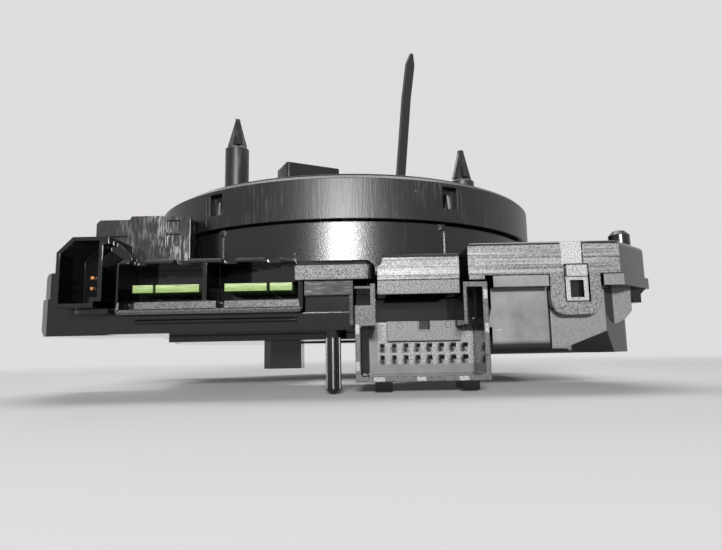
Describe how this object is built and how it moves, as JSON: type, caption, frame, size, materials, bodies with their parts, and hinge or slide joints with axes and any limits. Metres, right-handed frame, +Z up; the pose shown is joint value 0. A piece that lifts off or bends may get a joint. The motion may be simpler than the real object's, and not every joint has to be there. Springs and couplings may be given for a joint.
{
  "type": "steering clock spring",
  "caption": "Steering column clock spring: round drum with turning cover, hub bore and drive posts on a housing with a row of sockets and a clip-on electronics cover.",
  "frame": {"origin": "on the steering axis at the seat face of the bottom plate", "axes": "+Z up the steering axis to the driver, +X to the right seen from the sockets, -Y the side that the sockets face"},
  "size_m": [0.1334, 0.1121, 0.091],
  "materials": {
    "black_plastic": "satin moulded",
    "grey_plastic": "matt moulded",
    "board_green": "coated laminate edge",
    "chip_black": "matt",
    "copper_pin": "bare",
    "tin_pin": "tin plated",
    "black_screw": "black coated",
    "ribbon": "film",
    "gear_white": "moulded",
    "tie_nylon": "satin",
    "magnet": "sintered"
  },
  "bodies": {
    "base": {"lower_housing": "black_plastic", "bottom_plate": "black_plastic", "drum_case": "black_plastic", "main_board": "board_green", "board_chips": "chip_black", "edge_sockets": "black_plastic", "left_socket": "black_plastic", "left_socket_pins": "copper_pin", "header_shell": "black_plastic", "header_ledge": "grey_plastic", "header_pins": "tin_pin", "electronics_cover": "black_plastic", "header_bonnet": "black_plastic", "middle_cover": "black_plastic", "middle_panel": "black_plastic", "upper_terminal_box": "black_plastic", "left_deck": "black_plastic", "cover_screw": "black_screw", "flat_ribbon": "ribbon", "case_lead_block": "grey_plastic"},
    "rotor": {"rotor_cover": "black_plastic", "rotor_hub": "black_plastic", "retaining_collar": "black_plastic", "sensor_ring": "gear_white", "rotor_socket": "black_plastic", "rotor_socket_pins": "tin_pin", "rotor_lead_block": "grey_plastic", "cable_tie": "tie_nylon"},
    "gear_a": {"measuring_gear_a": "gear_white", "gear_magnet_a": "magnet"},
    "gear_b": {"measuring_gear_b": "gear_white", "gear_magnet_b": "magnet"}
  },
  "joints": [
    {"name": "rotor_spin", "type": "hinge", "parent": "base", "child": "rotor", "pos_m": [0, 0, 0.02], "axis": [0, 0, 1], "range_deg": [-900, 900]},
    {"name": "gear_a_spin", "type": "hinge", "parent": "base", "child": "gear_a", "pos_m": [-0.02124, -0.02925, 0.0063], "axis": [0, 0, 1], "range_deg": [-3240, 3240]},
    {"name": "gear_b_spin", "type": "hinge", "parent": "base", "child": "gear_b", "pos_m": [0.0229, -0.02925, 0.0063], "axis": [0, 0, 1], "range_deg": [-2880, 2880]}
  ],
  "couplings": [
    {"joint": "gear_a_spin", "follows": "rotor_spin", "ratio": -3.5},
    {"joint": "gear_b_spin", "follows": "rotor_spin", "ratio": -3.1111}
  ]
}
